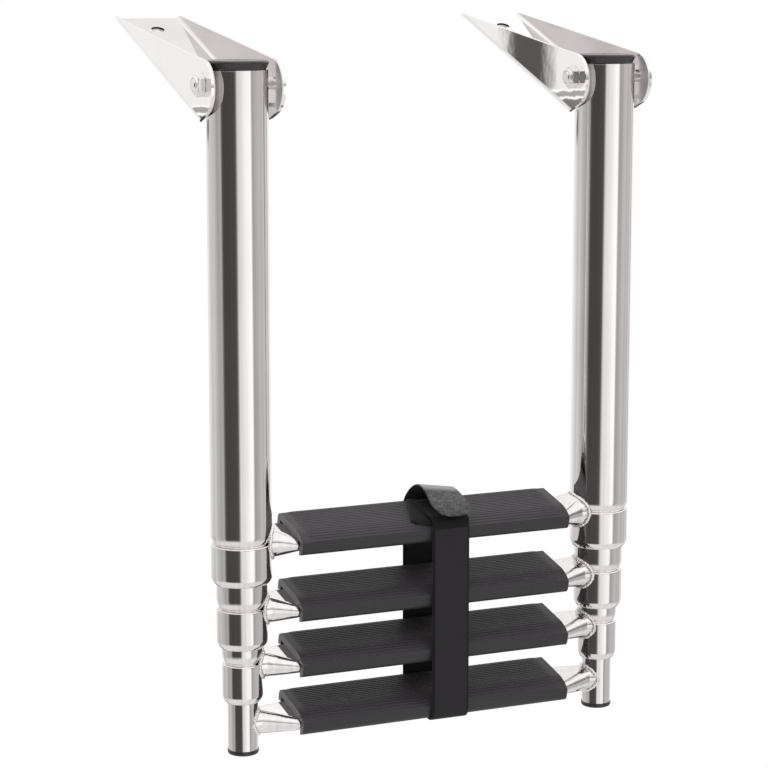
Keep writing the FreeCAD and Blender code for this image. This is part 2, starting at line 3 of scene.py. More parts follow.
import bmesh
import bpy
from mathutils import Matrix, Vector


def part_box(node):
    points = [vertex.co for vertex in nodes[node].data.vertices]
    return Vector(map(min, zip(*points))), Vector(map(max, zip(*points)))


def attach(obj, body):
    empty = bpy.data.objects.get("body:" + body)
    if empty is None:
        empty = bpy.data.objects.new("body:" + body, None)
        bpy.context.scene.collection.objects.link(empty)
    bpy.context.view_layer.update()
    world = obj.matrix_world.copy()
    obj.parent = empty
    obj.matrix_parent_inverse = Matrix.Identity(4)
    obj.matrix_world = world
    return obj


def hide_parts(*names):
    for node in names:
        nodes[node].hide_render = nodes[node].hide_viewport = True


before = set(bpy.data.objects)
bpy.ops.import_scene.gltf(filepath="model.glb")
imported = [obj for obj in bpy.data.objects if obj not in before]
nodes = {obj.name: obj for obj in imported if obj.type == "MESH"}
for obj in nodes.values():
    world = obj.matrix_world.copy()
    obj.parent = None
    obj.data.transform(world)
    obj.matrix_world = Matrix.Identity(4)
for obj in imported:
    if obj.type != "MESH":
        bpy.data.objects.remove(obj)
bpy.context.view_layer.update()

# The ladder is seen from its left, a little above the treads, pushed together and strapped for stowing.
# The lens is long, so that the two posts stay nearly parallel.
VIEW_TURN = math.radians(24.24)
camera_data = bpy.data.cameras.new("studio_camera")
camera_data.lens = 117.18
camera_data.sensor_width = 36.0
camera_data.clip_end = 50.0
camera = bpy.data.objects.new("studio_camera", camera_data)
camera.location = (-0.54085, -1.51855, 0.06005)
camera.rotation_euler = (math.radians(80.45), 0.0, -VIEW_TURN)
bpy.context.scene.collection.objects.link(camera)
bpy.context.scene.camera = camera
bpy.context.scene.view_settings.view_transform = "Standard"

# The studio: a white surround without a floor, for the ladder hangs, and large soft lamps.
# Polished tube mirrors the surround, so its panels stand where the bands on the posts show them.
# Each panel's place is a bearing in degrees, nought towards the camera and growing to its right.
WALL_PANELS = (
    (-180, 1.0), (-146, 0.95), (-122, 0.72), (-108, 0.72), (-94, 0.60), (-77, 0.44), (-63, 0.48),
    (-56, 0.13), (-50, 0.07), (-11, 0.08), (-4, 0.12), (5, 0.84), (18, 0.92), (38, 1.14), (51, 1.2),
    (58, 0.42), (66, 0.46), (80, 0.56), (90, 0.60), (100, 0.54), (110, 0.62), (119, 0.50), (128, 0.76),
    (133, 0.82), (136, 0.45), (139, 0.48), (142, 0.92), (150, 1.0), (180, 1.0),
)
RAMP_TOP = 1.25


class Sum:
    """A value in a node tree, so that shader sums read as plain sums."""

    def __init__(self, tree, link=None):
        self.tree = tree
        self.link = link

    def node(self, kind, settings=None, feeds=None, output=0):
        """Any node: its settings first, then the values or links of its sockets."""
        made = self.tree.nodes.new(kind)
        for name, setting in (settings or {}).items():
            if name == "stops":
                stops = made.color_ramp.elements
                while len(stops) < len(setting):
                    stops.new(1.0)
                for stop, (place, grey) in zip(stops, setting):
                    stop.position = place
                    stop.color = (grey, grey, grey, 1.0)
            else:
                setattr(made, name, setting)
        for name, given in (feeds or {}).items():
            socket = made.inputs[name]
            if isinstance(given, Sum):
                self.tree.links.new(given.link, socket)
            else:
                socket.default_value = given
        return Sum(self.tree, made.outputs[output] if made.outputs else None)

    def outlet(self, name):
        """Another value of the node that gave this one."""
        return Sum(self.tree, self.link.node.outputs[name])

    def sum_with(self, operation, first, second=0.0):
        return self.node("ShaderNodeMath", {"operation": operation}, {0: first, 1: second})

    def __add__(self, other):
        return self.sum_with("ADD", self, other)

    def __radd__(self, other):
        return self.sum_with("ADD", other, self)

    def __sub__(self, other):
        return self.sum_with("SUBTRACT", self, other)

    def __rsub__(self, other):
        return self.sum_with("SUBTRACT", other, self)

    def __mul__(self, other):
        return self.sum_with("MULTIPLY", self, other)

    def __rmul__(self, other):
        return self.sum_with("MULTIPLY", other, self)

    def __abs__(self):
        return self.sum_with("ABSOLUTE", self)

    def axes(self):
        """The three parts of a place or a direction."""
        parts = self.node("ShaderNodeSeparateXYZ", feeds={"Vector": self})
        return [parts.outlet(axis) for axis in ("X", "Y", "Z")]

    def step(self, low, high, start=0.0, end=1.0):
        """Smooth rise from start to end while the value goes from low to high."""
        return self.node("ShaderNodeMapRange", {"interpolation_type": "SMOOTHSTEP"}, {
            "Value": self, "From Min": low, "From Max": high, "To Min": start, "To Max": end,
        })

    def within(self, low, high, soft):
        """One between low and high, zero outside, with soft edges."""
        return self.step(low - soft, low + soft) * self.step(high - soft, high + soft, 1.0, 0.0)

    def under(self, mask, cover):
        """This value, and the cover over it where the mask is one."""
        return self * (1.0 - mask) + mask * cover

    def blend(self, first, second):
        """The first colour where this value is nought, the second where it is one."""
        feeds = {"Factor": self, "A": first, "B": second}
        return self.node("ShaderNodeMix", {"data_type": "RGBA"}, feeds, output=2)


def graded(place, stops):
    """The level at a place from nought to one, between stops whose levels reach RAMP_TOP."""
    settings = {"stops": [(stop, level / RAMP_TOP) for stop, level in stops]}
    ramp = place.node("ShaderNodeValToRGB", settings, {"Fac": place})
    return place.node("ShaderNodeRGBToBW", feeds={"Color": ramp}) * RAMP_TOP


world = bpy.data.worlds.new("studio_surround")
world.use_nodes = True
bpy.context.scene.world = world
world.node_tree.nodes.clear()
surround = Sum(world.node_tree)
# a ray's bearing, and its height from -1 to 1
east, north, height = surround.node("ShaderNodeTexCoord", output="Generated").axes()
across = east * math.cos(VIEW_TURN) - north * math.sin(VIEW_TURN)
towards = -math.sin(VIEW_TURN) * east + north * -math.cos(VIEW_TURN)
bearing = across.sum_with("ARCTAN2", across, towards) * (180.0 / math.pi)
walls = graded(bearing * (1 / 360) + 0.5, [(angle / 360 + 0.5, level) for angle, level in WALL_PANELS])

# What the brackets' ears mirror: a bright screen on the left with a bench edge low behind it, and one dark
# upright in front of it. The bench's stops run from 0.001 of height above its edge to 0.009 below.
BENCH_STOPS = (
    (0.08, 0.98), (0.10, 1.25), (0.14, 1.25), (0.16, 0.4125), (0.36, 0.45), (0.40, 1.1875), (0.46, 1.1875),
    (0.50, 0.25), (1.0, 0.20),
)
UPRIGHT_LEVEL = 0.11
screen = bearing.within(-141.0, -123.0, 1.2) * height.step(-0.072, -0.066)
bench_edge = (bearing + 135.7) * 0.0008 - 0.0559
bench = graded((bench_edge - height) * 100.0 + 0.1, BENCH_STOPS)
upright = bearing.within(-128.74, -127.74, 0.22) * height.step(-0.0500, -0.0480) * height.step(0.02, 0.0)
mirrored = walls.under(screen, bench.under(upright, UPRIGHT_LEVEL))

# A thin dark rail runs on the right wall. Above it that wall is grey and clears upwards, which draws the
# line along the crossbars. The sky is a white ceiling, a little greyer low down on the left.
RAIL_SHADE = 0.8
UPPER_WALL_SHADE = 0.55
SKY_LEFT = 0.94
SKY_GAIN = 0.24
SKY_TOP = 1.12
rail = bearing.within(20.0, 75.0, 4.0) * height.within(0.035, 0.075, 0.012)
upper_wall = bearing.within(12.0, 120.0, 8.0) * height.step(0.055, 0.085) * height.step(0.42, 0.085)
mirrored = mirrored * (1.0 - rail * RAIL_SHADE) * (1.0 - upper_wall * UPPER_WALL_SHADE)
sky = (SKY_LEFT + across.step(0.03, 0.12) * SKY_GAIN).under(height.step(0.66, 0.82), SKY_TOP)
mirrored = mirrored.under(height.step(0.30, 0.55), sky)

# The ground is pale, and dark well behind the ladder; low on the left the wall greys off towards it.
GROUND_DARK = 0.07
GROUND_PALE = 0.85
LOW_LEFT_SHADE = 0.16
grey_left = bearing.within(-152.0, -108.0, 4.0) * height.step(-0.20, -0.28)
ground = towards.step(-0.80, -0.55, GROUND_DARK, GROUND_PALE)
mirrored = (mirrored * (1.0 - grey_left * LOW_LEFT_SHADE)).under(height.step(-0.36, -0.58), ground)

# The camera and clear things see plain white, gloss sees the panels, and other rays a plain even level.
# The darkest panels are a little brown.
rays = surround.node("ShaderNodeLightPath")
seen, glossy, passed = (rays.outlet(f"Is {kind} Ray") for kind in ("Camera", "Glossy", "Transmission"))
even_level = height.step(0.1, -0.3, 0.55, 0.75)
level = even_level * (1.0 - seen) * (1.0 - glossy) * (1.0 - passed) + seen + passed + glossy * mirrored
tint = (mirrored.step(0.0, 0.5) + 1.0 - glossy).blend((1.0, 0.92, 0.92, 1.0), (1.0, 1.0, 1.0, 1.0))
room = surround.node("ShaderNodeBackground", feeds={"Color": tint, "Strength": level})
surround.node("ShaderNodeOutputWorld", feeds={"Surface": room})

LAMPS_AIM = Vector((0.12, -0.1, -0.2))
for name, place, size, power in (
    ("front_softbox", (-1.2, -2.2, 1.6), 1.6, 42.0),
    ("top_softbox", (0.1, 0.2, 2.0), 1.8, 40.0),
    ("right_softbox", (2.0, -0.8, 0.9), 1.2, 16.0),
):
    lamp = bpy.data.lights.new(name, "AREA")
    lamp.shape = "SQUARE"
    lamp.size = size
    lamp.energy = power
    stand = bpy.data.objects.new(name, lamp)
    stand.location = place
    stand.rotation_euler = (LAMPS_AIM - Vector(place)).to_track_quat("-Z", "Y").to_euler()
    stand.visible_glossy = False
    bpy.context.scene.collection.objects.link(stand)

# The posts: four nested tubes a side, drawn stainless steel polished lengthwise to a mirror.
# Fine drawing lines run along the tube, and handling leaves faint cloudy patches on the polish.
# The collars and the crossbars have the same finish.
SIDES = ("left", "right")
TUBE_PIECES = ("tube_1", "tube_2", "tube_3", "tube_4", "collar_1", "collar_2", "collar_3")


def blank_finish(name):
    """A material without nodes, and the place on the piece that its patterns read."""
    material = bpy.data.materials.new(name)
    material.use_nodes = True
    material.node_tree.nodes.clear()
    return material, Sum(material.node_tree).node("ShaderNodeTexCoord", output="Object")


def noise(spot, scale, detail):
    feeds = {"Vector": spot, "Scale": scale, "Detail": detail}
    return spot.node("ShaderNodeTexNoise", feeds=feeds, output="Fac")


def drawn_noise(spot, across_tube, along_tube, detail):
    """Noise drawn out up and down, with so many marks a metre each way."""
    size = (across_tube, across_tube, along_tube)
    return noise(spot.node("ShaderNodeMapping", feeds={"Vector": spot, "Scale": size}), 1.0, detail)


def dented(heights, strength, distance):
    feeds = {"Height": heights, "Strength": strength, "Distance": distance}
    return heights.node("ShaderNodeBump", feeds=feeds)


def close_finish(spot, feeds):
    """Complete a finish with its shader and output."""
    shader = spot.node("ShaderNodeBsdfPrincipled", feeds=feeds)
    spot.node("ShaderNodeOutputMaterial", feeds={"Surface": shader})


def finish_with(material, *names):
    """Give CAD parts their finish."""
    for name in names:
        mesh = nodes[name].data
        mesh.materials.clear()
        mesh.materials.append(material)


tube_steel, spot = blank_finish("polished_tube")
cloud = noise(spot, 22.0, 3.0)
lines = drawn_noise(spot, 1400.0, 9.0, 2.0)
streaks = drawn_noise(spot, 420.0, 3.0, 3.0)
steel_tone = (cloud.step(0.3, 0.75) * 0.3 + streaks.step(0.35, 0.65) * 0.7).blend(
    (0.765, 0.722, 0.722, 1.0), (0.885, 0.847, 0.850, 1.0),
)
close_finish(spot, {
    "Base Color": steel_tone, "Metallic": 1.0,
    "Roughness": 0.035 + cloud.step(0.45, 0.8) * 0.03 + lines * 0.02,
    "Normal": dented(lines, 0.02, 0.0002),
})
finish_with(tube_steel, *(f"{side}_{piece}" for side in SIDES for piece in TUBE_PIECES))
finish_with(tube_steel, "crossbar_1", "crossbar_2", "crossbar_3", "crossbar_4")

# The brackets: 2.5 mm stainless sheet, bent to a U, with drilled bolt holes whose walls are painted
# near-black just under their upper rims, a painted shadow.
# Their outer faces are polished to a mirror. The insides are rougher and darker, most of all well behind
# the pivot, and rougher and paler on the nose in front of it.
BRACKET_TILT = math.radians(20.0)
BRACKET_SPACING = 0.252
INNER_FACE = 0.02135
BOLT_HOLE_RADIUS = 0.00425
BOLT_HOLE_REACH = 0.045
PIVOT_LINE = -0.10605
bracket_steel, spot = blank_finish("polished_sheet")
side_x, back_y, up_z = spot.axes()
side_x = side_x - side_x.step(BRACKET_SPACING / 2 - 0.001, BRACKET_SPACING / 2 + 0.001) * BRACKET_SPACING
inner = abs(side_x).within(INNER_FACE - 0.0005, INNER_FACE + 0.0008, 0.0001)
inside_behind_pivot = inner * back_y.step(PIVOT_LINE + 0.018, PIVOT_LINE + 0.030)
nose = inner * back_y.step(PIVOT_LINE - 0.002, PIVOT_LINE - 0.008)
reach = back_y * math.cos(BRACKET_TILT) + up_z * math.sin(BRACKET_TILT)
web_height = up_z * math.cos(BRACKET_TILT) - back_y * math.sin(BRACKET_TILT)


def bolt_hole(along_web):
    """One on the wall of a bolt hole, from the distance along the web from the hole's middle."""
    spread = side_x * side_x + along_web * along_web
    return spread.step((BOLT_HOLE_RADIUS + 0.00015) ** 2, (BOLT_HOLE_RADIUS + 0.0001) ** 2)


hole_wall = bolt_hole(reach - BOLT_HOLE_REACH) + bolt_hole(reach + BOLT_HOLE_REACH)
# painted shadow: the bolt hole walls are painted near-black just under the web's upper surface, where shade
# falls
hole_rim_painted_shadow = hole_wall * web_height.step(0.0010, 0.0013)
cloud = noise(spot, 30.0, 3.0)
dullness = inner * 0.22 + inside_behind_pivot * (0.28 - cloud * 0.3) - nose * 0.22 + cloud.step(0.45, 0.75) * 0.08
sheet_tone = dullness.blend((0.885, 0.855, 0.854, 1.0), (0.39, 0.355, 0.350, 1.0))
close_finish(spot, {
    "Base Color": hole_rim_painted_shadow.blend(sheet_tone, (0.05, 0.045, 0.04, 1.0)), "Metallic": 1.0,
    "Roughness": (0.012 + cloud.step(0.4, 0.8) * 0.012 + inner * 0.11 + inside_behind_pivot * 0.10 + nose * 0.40
                  + hole_wall * 0.3),
    "Normal": dented(cloud, 0.012, 0.002),
})
finish_with(bracket_steel, "left_bracket", "right_bracket")

# The pivot bolts, each with a lock nut against the left ear: turned stainless steel, brighter and
# coarser than the tube. Bolt and nut share one finish.
bolt_steel, spot = blank_finish("turned_bolt")
close_finish(spot, {
    "Base Color": (0.89, 0.862, 0.862, 1.0), "Metallic": 1.0,
    "Roughness": 0.14 + noise(spot, 400.0, 2.0) * 0.10,
})
finish_with(bolt_steel, *(f"{side}_{piece}" for side in SIDES for piece in ("pivot_bolt", "lock_nut")))

# Caps and end plugs: black polyethylene, moulded with a fine skin and pressed into the tube ends.
# The caps close the tops of the posts, and the end plugs are the ladder's feet.
cap_plastic, spot = blank_finish("moulded_plug")
skin = noise(spot, 900.0, 2.0)
close_finish(spot, {
    "Base Color": (0.0235, 0.0205, 0.0208, 1.0),
    "Roughness": 0.20 + skin * 0.10,
    "Normal": dented(skin, 0.08, 0.0002),
})
finish_with(cap_plastic, "left_cap", "right_cap", "left_end_plug", "right_end_plug")

# The cut top of each post is rounded over and polished bright, a thin lip under the cap.
# It is a ring of the tube's own steel that stands just proud of the tube.
TUBE_RADIUS = {1: 0.01905, 2: 0.01590, 3: 0.01270, 4: 0.009525}
LIP_ROUND = 0.0004
LIP_PROUD = 0.00004
LIP_TURNS = 96
LIP_SIDES = 8


def as_piece(name, mesh):
    piece = bpy.data.objects.new(name, mesh)
    bpy.context.scene.collection.objects.link(piece)
    return piece


def smooth_piece(name, form):
    """A piece from a closed form, its faces outwards and shaded smooth."""
    bmesh.ops.recalc_face_normals(form, faces=form.faces)
    for face in form.faces:
        face.smooth = True
    mesh = bpy.data.meshes.new(name)
    form.to_mesh(mesh)
    return as_piece(name, mesh)


for side in SIDES:
    low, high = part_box(f"{side}_tube_1")
    form = bmesh.new()
    rings = []
    for turn in range(LIP_TURNS):
        angle = 2 * math.pi * turn / LIP_TURNS
        ring = []
        for corner in range(LIP_SIDES):
            tilt = 2 * math.pi * corner / LIP_SIDES
            out = TUBE_RADIUS[1] + LIP_PROUD - LIP_ROUND * (1.0 - math.cos(tilt))
            ring.append(form.verts.new((
                (low[0] + high[0]) / 2 + out * math.cos(angle),
                (low[1] + high[1]) / 2 + out * math.sin(angle),
                high[2] - LIP_ROUND * (1.0 - math.sin(tilt)),
            )))
        rings.append(ring)
    for here, after in zip(rings, rings[1:] + rings[:1]):
        for corner in range(LIP_SIDES):
            following = (corner + 1) % LIP_SIDES
            form.faces.new((here[corner], after[corner], after[following], here[following]))
    lip = smooth_piece(f"{side}_tube_lip", form)
    lip.data.materials.append(tube_steel)
    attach(lip, "upper_section")

# The treads: moulded charcoal covers clipped over the crossbars.
# Fine ribs run lengthwise over the top and the long nose for grip, and fade out just before the ends.
TREADS = {1: "upper_section", 2: "second_section", 3: "third_section", 4: "foot_section"}
TREAD_TILT = math.radians(12.4)
TREAD_FRONT = 0.0200
TREAD_BACK = 0.0220
TREAD_BACK_EDGE = 0.0082
TREAD_NOSE_RADIUS = 0.0250
TREAD_NOSE_TURN = math.radians(30.0)
TREAD_CORNER = 0.0020
TREAD_ROUND = 0.0045
TREAD_HALF = 0.0935
TREAD_MIDDLE = 0.1243
tread_plastic, spot = blank_finish("moulded_tread")
skin = noise(spot, 1100.0, 2.0)
# painted light: the tread's end faces are painted lighter, for the light that falls on them, and are made
# smoother
end_faces_painted_light = abs(spot.axes()[0] - TREAD_MIDDLE).step(TREAD_HALF - 0.0003, TREAD_HALF - 0.0001)
close_finish(spot, {
    "Base Color": end_faces_painted_light.blend((0.0222, 0.0198, 0.0222, 1.0), (0.088, 0.081, 0.088, 1.0)),
    "Roughness": 0.42 + skin * 0.14 - end_faces_painted_light * 0.15,
    "Normal": dented(skin, 0.15, 0.0002),
})
finish_with(tread_plastic, "tread_1", "tread_2", "tread_3", "tread_4")


def growing_tree(name, sizes):
    """A geometry tree with a path, named sizes and a finish as its inputs, and the node that gives them."""
    tree = bpy.data.node_groups.new(name, "GeometryNodeTree")
    for label, kind in (("Path", "Geometry"), *sizes, ("Finish", "Material")):
        tree.interface.new_socket(name=label, in_out="INPUT", socket_type=f"NodeSocket{kind}")
    tree.interface.new_socket(name="Grown", in_out="OUTPUT", socket_type="NodeSocketGeometry")
    return tree, Sum(tree).node("NodeGroupInput")


def close_tree(given, laid):
    """End a geometry tree: one smooth mesh with its finish."""
    grown = laid.node("GeometryNodeRealizeInstances", feeds={"Geometry": laid})
    grown = grown.node("GeometryNodeSetShadeSmooth", feeds={"Geometry": grown})
    finish = given.outlet("Finish")
    grown = grown.node("GeometryNodeSetMaterial", feeds={"Geometry": grown, "Material": finish})
    grown.node("NodeGroupOutput", feeds={"Grown": grown})


def grown_piece(tree, name, places, closed, inputs):
    """Run a geometry tree on a path through the places and keep its result as a plain piece."""
    path = bpy.data.meshes.new("path")
    runs = [(index, index + 1) for index in range(len(places) - 1)]
    if closed:
        runs.append((len(places) - 1, 0))
    path.from_pydata(places, runs, [])
    piece = as_piece(name, path)
    grower = piece.modifiers.new("grower", "NODES")
    grower.node_group = tree
    for item in tree.interface.items_tree:
        if item.in_out == "INPUT" and item.name in inputs:
            grower[item.identifier] = inputs[item.name]
    bpy.context.view_layer.update()
    ready = piece.evaluated_get(bpy.context.evaluated_depsgraph_get())
    grown = bpy.data.meshes.new_from_object(ready)
    piece.modifiers.remove(grower)
    piece.data = grown
    return piece


RIB_STEPS = 80
RIB_SIDES = 10
RIB_END_SIZE = 0.35
ribbing, given = growing_tree("tread_ribs", (
    ("Pitch", "Float"), ("Rib Radius", "Float"), ("Half Length", "Float"), ("Fade", "Float"),
))
crest = given.node("GeometryNodeMeshToCurve", feeds={"Mesh": given.outlet("Path")})
rows = crest.node("GeometryNodeResampleCurve", {"mode": "LENGTH"}, {
    "Curve": crest, "Length": given.outlet("Pitch"),
})
half_length = given.outlet("Half Length")
right_end = given.node("ShaderNodeCombineXYZ", feeds={"X": half_length})
left_end = given.node("ShaderNodeCombineXYZ", feeds={"X": half_length * -1.0})
line = given.node("GeometryNodeCurvePrimitiveLine", {"mode": "POINTS"}, {
    "Start": left_end, "End": right_end,
})
line = line.node("GeometryNodeResampleCurve", {"mode": "COUNT"}, {"Curve": line, "Count": RIB_STEPS})
inset = half_length - abs(given.node("GeometryNodeInputPosition").axes()[0])
swell = inset.step(0.0, given.outlet("Fade"), RIB_END_SIZE, 1.0)
line = line.node("GeometryNodeSetCurveRadius", feeds={"Curve": line, "Radius": swell})
ring = given.node("GeometryNodeCurvePrimitiveCircle", feeds={
    "Resolution": RIB_SIDES, "Radius": given.outlet("Rib Radius"),
})
rib = line.node("GeometryNodeCurveToMesh", feeds={
    "Curve": line, "Profile Curve": ring, "Scale": swell, "Fill Caps": True,
})
close_tree(given, rows.node("GeometryNodeInstanceOnPoints", feeds={"Points": rows, "Instance": rib}))


def tilted(back, up):
    """How far back and up a place lies in the frame, from its place along and square to the tilted top."""
    return (back * math.cos(TREAD_TILT) - up * math.sin(TREAD_TILT),
            back * math.sin(TREAD_TILT) + up * math.cos(TREAD_TILT))


BACK_TURN = math.radians(50.0)
BACK_STEPS = 4
NOSE_STEPS = 8


def tread_crest():
    """Points (back, up) of the tread's upper outline from its back to the end of its nose."""
    bend = TREAD_NOSE_RADIUS - TREAD_CORNER
    nose_back = TREAD_CORNER - TREAD_FRONT + bend * math.sin(TREAD_NOSE_TURN)
    points = []
    for step in range(BACK_STEPS + 1):
        angle = BACK_TURN * (1 - step / BACK_STEPS)
        points.append((TREAD_BACK - TREAD_ROUND * (1.0 - math.sin(angle)),
                       TREAD_ROUND * (math.cos(angle) - 1.0)))
    for step in range(NOSE_STEPS + 1):
        angle = TREAD_NOSE_TURN * step / NOSE_STEPS
        points.append((nose_back - TREAD_NOSE_RADIUS * math.sin(angle),
                       TREAD_NOSE_RADIUS * (math.cos(angle) - 1.0)))
    return points


RIB_PITCH = 0.0022
RIB_RADIUS = 0.00065
RIB_SUNK = 0.00032
RIB_END_GAP = 0.0022
RIB_FADE = 0.006
for number, section in TREADS.items():
    low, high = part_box(f"tread_{number}")
    # the tilted tread is highest on its back round, and reaches furthest back at the lower edge of its back
    plane_y = high[1] - tilted(TREAD_BACK, -TREAD_BACK_EDGE)[0]
    plane_z = high[2] - TREAD_ROUND - tilted(TREAD_BACK - TREAD_ROUND, -TREAD_ROUND)[1]
    places = []
    for back, up in tread_crest():
        y, z = tilted(back, up - RIB_SUNK)
        places.append(((low[0] + high[0]) / 2, plane_y + y, plane_z + z))
    ribs = grown_piece(ribbing, f"tread_ribs_{number}", places, False, {
        "Pitch": RIB_PITCH, "Rib Radius": RIB_RADIUS, "Half Length": TREAD_HALF - RIB_END_GAP,
        "Fade": RIB_FADE, "Finish": tread_plastic,
    })
    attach(ribs, section)

# The crossbars are welded to the posts all round their oval mouths.
# The beads are stainless steel, left as laid, rough and bright.
bead_steel, spot = blank_finish("weld_bead")
scale = noise(spot, 700.0, 3.0)
bead_tone = scale.step(0.36, 0.50).blend((0.80, 0.78, 0.75, 1.0), (0.95, 0.94, 0.92, 1.0))
close_finish(spot, {
    "Base Color": bead_tone, "Metallic": 1.0,
    "Roughness": 0.34 + scale * 0.15,
    "Normal": dented(scale, 0.15, 0.0004),
})

BEAD_LEAST = (0.80, 0.80, 0.80)
BEAD_MOST = (1.30, 1.30, 1.40)
welding, given = growing_tree("weld_beads", (
    ("Bead Spacing", "Float"), ("Bead Radius", "Float"), ("Seed", "Int"),
))
seam = given.node("GeometryNodeMeshToCurve", feeds={"Mesh": given.outlet("Path")})
drops = seam.node("GeometryNodeCurveToPoints", {"mode": "LENGTH"}, {
    "Curve": seam, "Length": given.outlet("Bead Spacing"),
})
drop = given.node("GeometryNodeMeshIcoSphere", feeds={
    "Radius": given.outlet("Bead Radius"), "Subdivisions": 2,
})
uneven = given.node("FunctionNodeRandomValue", {"data_type": "FLOAT_VECTOR"}, {
    "Min": BEAD_LEAST, "Max": BEAD_MOST, "Seed": given.outlet("Seed"),
})
close_tree(given, drops.node("GeometryNodeInstanceOnPoints", feeds={
    "Points": drops, "Instance": drop, "Rotation": drops.outlet("Rotation"), "Scale": uneven,
}))

# width and height of each crossbar's mouth, and the height of its middle
MOUTHS = {
    1: (0.0260, 0.0190, -0.29325),
    2: (0.0240, 0.0176, -0.33565),
    3: (0.0205, 0.0170, -0.37125),
    4: (0.0176, 0.0164, -0.40845),
}
POST_HALF_SPACING = 0.1260
WELD_STANDOFF = 0.0001
MOUTH_TURNS = 72
BEAD_SPACING = 0.0007
BEAD_RADIUS = 0.0012


def mouth_path(number, sign):
    """The closed line where a crossbar's oval mouth meets its post, a little outside both."""
    width, height, middle = MOUTHS[number]
    straight = (width - height) / 2
    round_end = height / 2 + WELD_STANDOFF
    places = []
    for turn in range(MOUTH_TURNS):
        angle = 2 * math.pi * turn / MOUTH_TURNS
        along = round_end * math.cos(angle) + math.copysign(straight, math.cos(angle))
        y, z = tilted(along, round_end * math.sin(angle))
        reach = math.sqrt((TUBE_RADIUS[number] + WELD_STANDOFF) ** 2 - y * y)
        places.append((TREAD_MIDDLE + sign * (POST_HALF_SPACING - reach), PIVOT_LINE + y, middle + z))
    return places


for number, section in TREADS.items():
    for side, sign in (("left", -1), ("right", 1)):
        beads = grown_piece(welding, f"{side}_weld_{number}", mouth_path(number, sign), True, {
            "Bead Spacing": BEAD_SPACING, "Bead Radius": BEAD_RADIUS, "Seed": 10 * number + sign,
            "Finish": bead_steel,
        })
        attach(beads, section)

# The strap: one length of black hook-and-loop webbing, 25 mm wide, wrapped once round all four treads.
# Its rounded loop end comes over the top in a slack arch and presses onto the front strand, and
# its other end is folded under the turn on the top tread and lies askew.
STRAP_LEFT = 0.1191
STRAP_WIDTH = 0.0254
STRAP_THICK = 0.0015
TIP_ROUND_LEFT = 0.0110
TIP_ROUND_RIGHT = 0.0055
SHARES_ACROSS = (0.0, 0.012, 0.05, 0.2, 0.4, 0.6, 0.8, 0.95, 0.988, 1.0)
SELVEDGE_SHARE = 0.02
EDGE_THICK = 0.45
SELVEDGE_THICK = 0.85
PATH_STEP = 0.0012


def smooth_path(points):
    """Evenly spaced points on the smooth curve that the given ones steer."""
    data = bpy.data.curves.new("path", "CURVE")
    data.dimensions = "3D"
    spline = data.splines.new("NURBS")
    spline.points.add(len(points) - 1)
    for point, place in zip(spline.points, points):
        point.co = (*place, 1.0)
    spline.order_u = 3
    spline.use_endpoint_u = True
    spline.resolution_u = 24
    holder = as_piece("path", data)
    line = bpy.data.meshes.new_from_object(holder)
    bpy.data.objects.remove(holder)
    places = [vertex.co.copy() for vertex in line.vertices]
    lengths = [0.0]
    for first, second in zip(places, places[1:]):
        lengths.append(lengths[-1] + (second - first).length)
    count = max(2, round(lengths[-1] / PATH_STEP))
    even = []
    index = 0
    for step in range(count + 1):
        target = lengths[-1] * step / count
        while index < len(lengths) - 2 and lengths[index + 1] < target:
            index += 1
        share = (target - lengths[index]) / max(lengths[index + 1] - lengths[index], 1e-9)
        even.append(places[index].lerp(places[index + 1], min(max(share, 0.0), 1.0)))
    return even


def corner_cut(left_over, radius):
    """How far a rounded corner takes the edge in, so far from the end."""
    if left_over >= radius:
        return 0.0
    return radius - math.sqrt(max(radius * radius - (radius - left_over) ** 2, 0.0))


def webbing_piece(name, left, right, left_round, right_round, beyond):
    """A strap between two edge paths of equal counts, with thin selvedges and a rounded far end.

    Its threads run by the distance from the far end, and by the place across, below zero on the outer face.
    """
    form = bmesh.new()
    threads = form.loops.layers.uv.new("threads")
    middles = [(first + second) / 2 for first, second in zip(left, right)]
    run = [0.0]
    for first, second in zip(middles, middles[1:]):
        run.append(run[-1] + (second - first).length)
    rings = []
    for index, here in enumerate(middles):
        before, after = max(index - 1, 0), min(index + 1, len(middles) - 1)
        ahead = (middles[after] - middles[before]).normalized()
        side = right[index] - left[index]
        width = side.length
        side = (side - ahead * side.dot(ahead)).normalized()
        out = side.cross(ahead).normalized()
        left_over = run[-1] - run[index]
        first_edge = corner_cut(left_over, left_round)
        last_edge = width - corner_cut(left_over, right_round)
        ring = []
        for face in (1.0, -1.0):
            for share in SHARES_ACROSS if face > 0 else reversed(SHARES_ACROSS):
                edge = min(share, 1.0 - share)
                full = EDGE_THICK if edge == 0 else SELVEDGE_THICK if edge < SELVEDGE_SHARE else 1.0
                step = first_edge + (last_edge - first_edge) * share
                place = here + side * (step - width / 2) + out * (STRAP_THICK / 2 * full * face)
                ring.append((form.verts.new(place), step * face, left_over + beyond))
        rings.append(ring)
    around = len(rings[0])
    for first, second in zip(rings, rings[1:]):
        for index in range(around):
            following = (index + 1) % around
            corners = (first[index], first[following], second[following], second[index])
            face = form.faces.new([corner[0] for corner in corners])
            for loop, corner in zip(face.loops, corners):
                loop[threads].uv = (corner[2], corner[1])
    for ring in (rings[0], rings[-1]):
        form.faces.new([corner[0] for corner in ring])
    return smooth_piece(name, form)
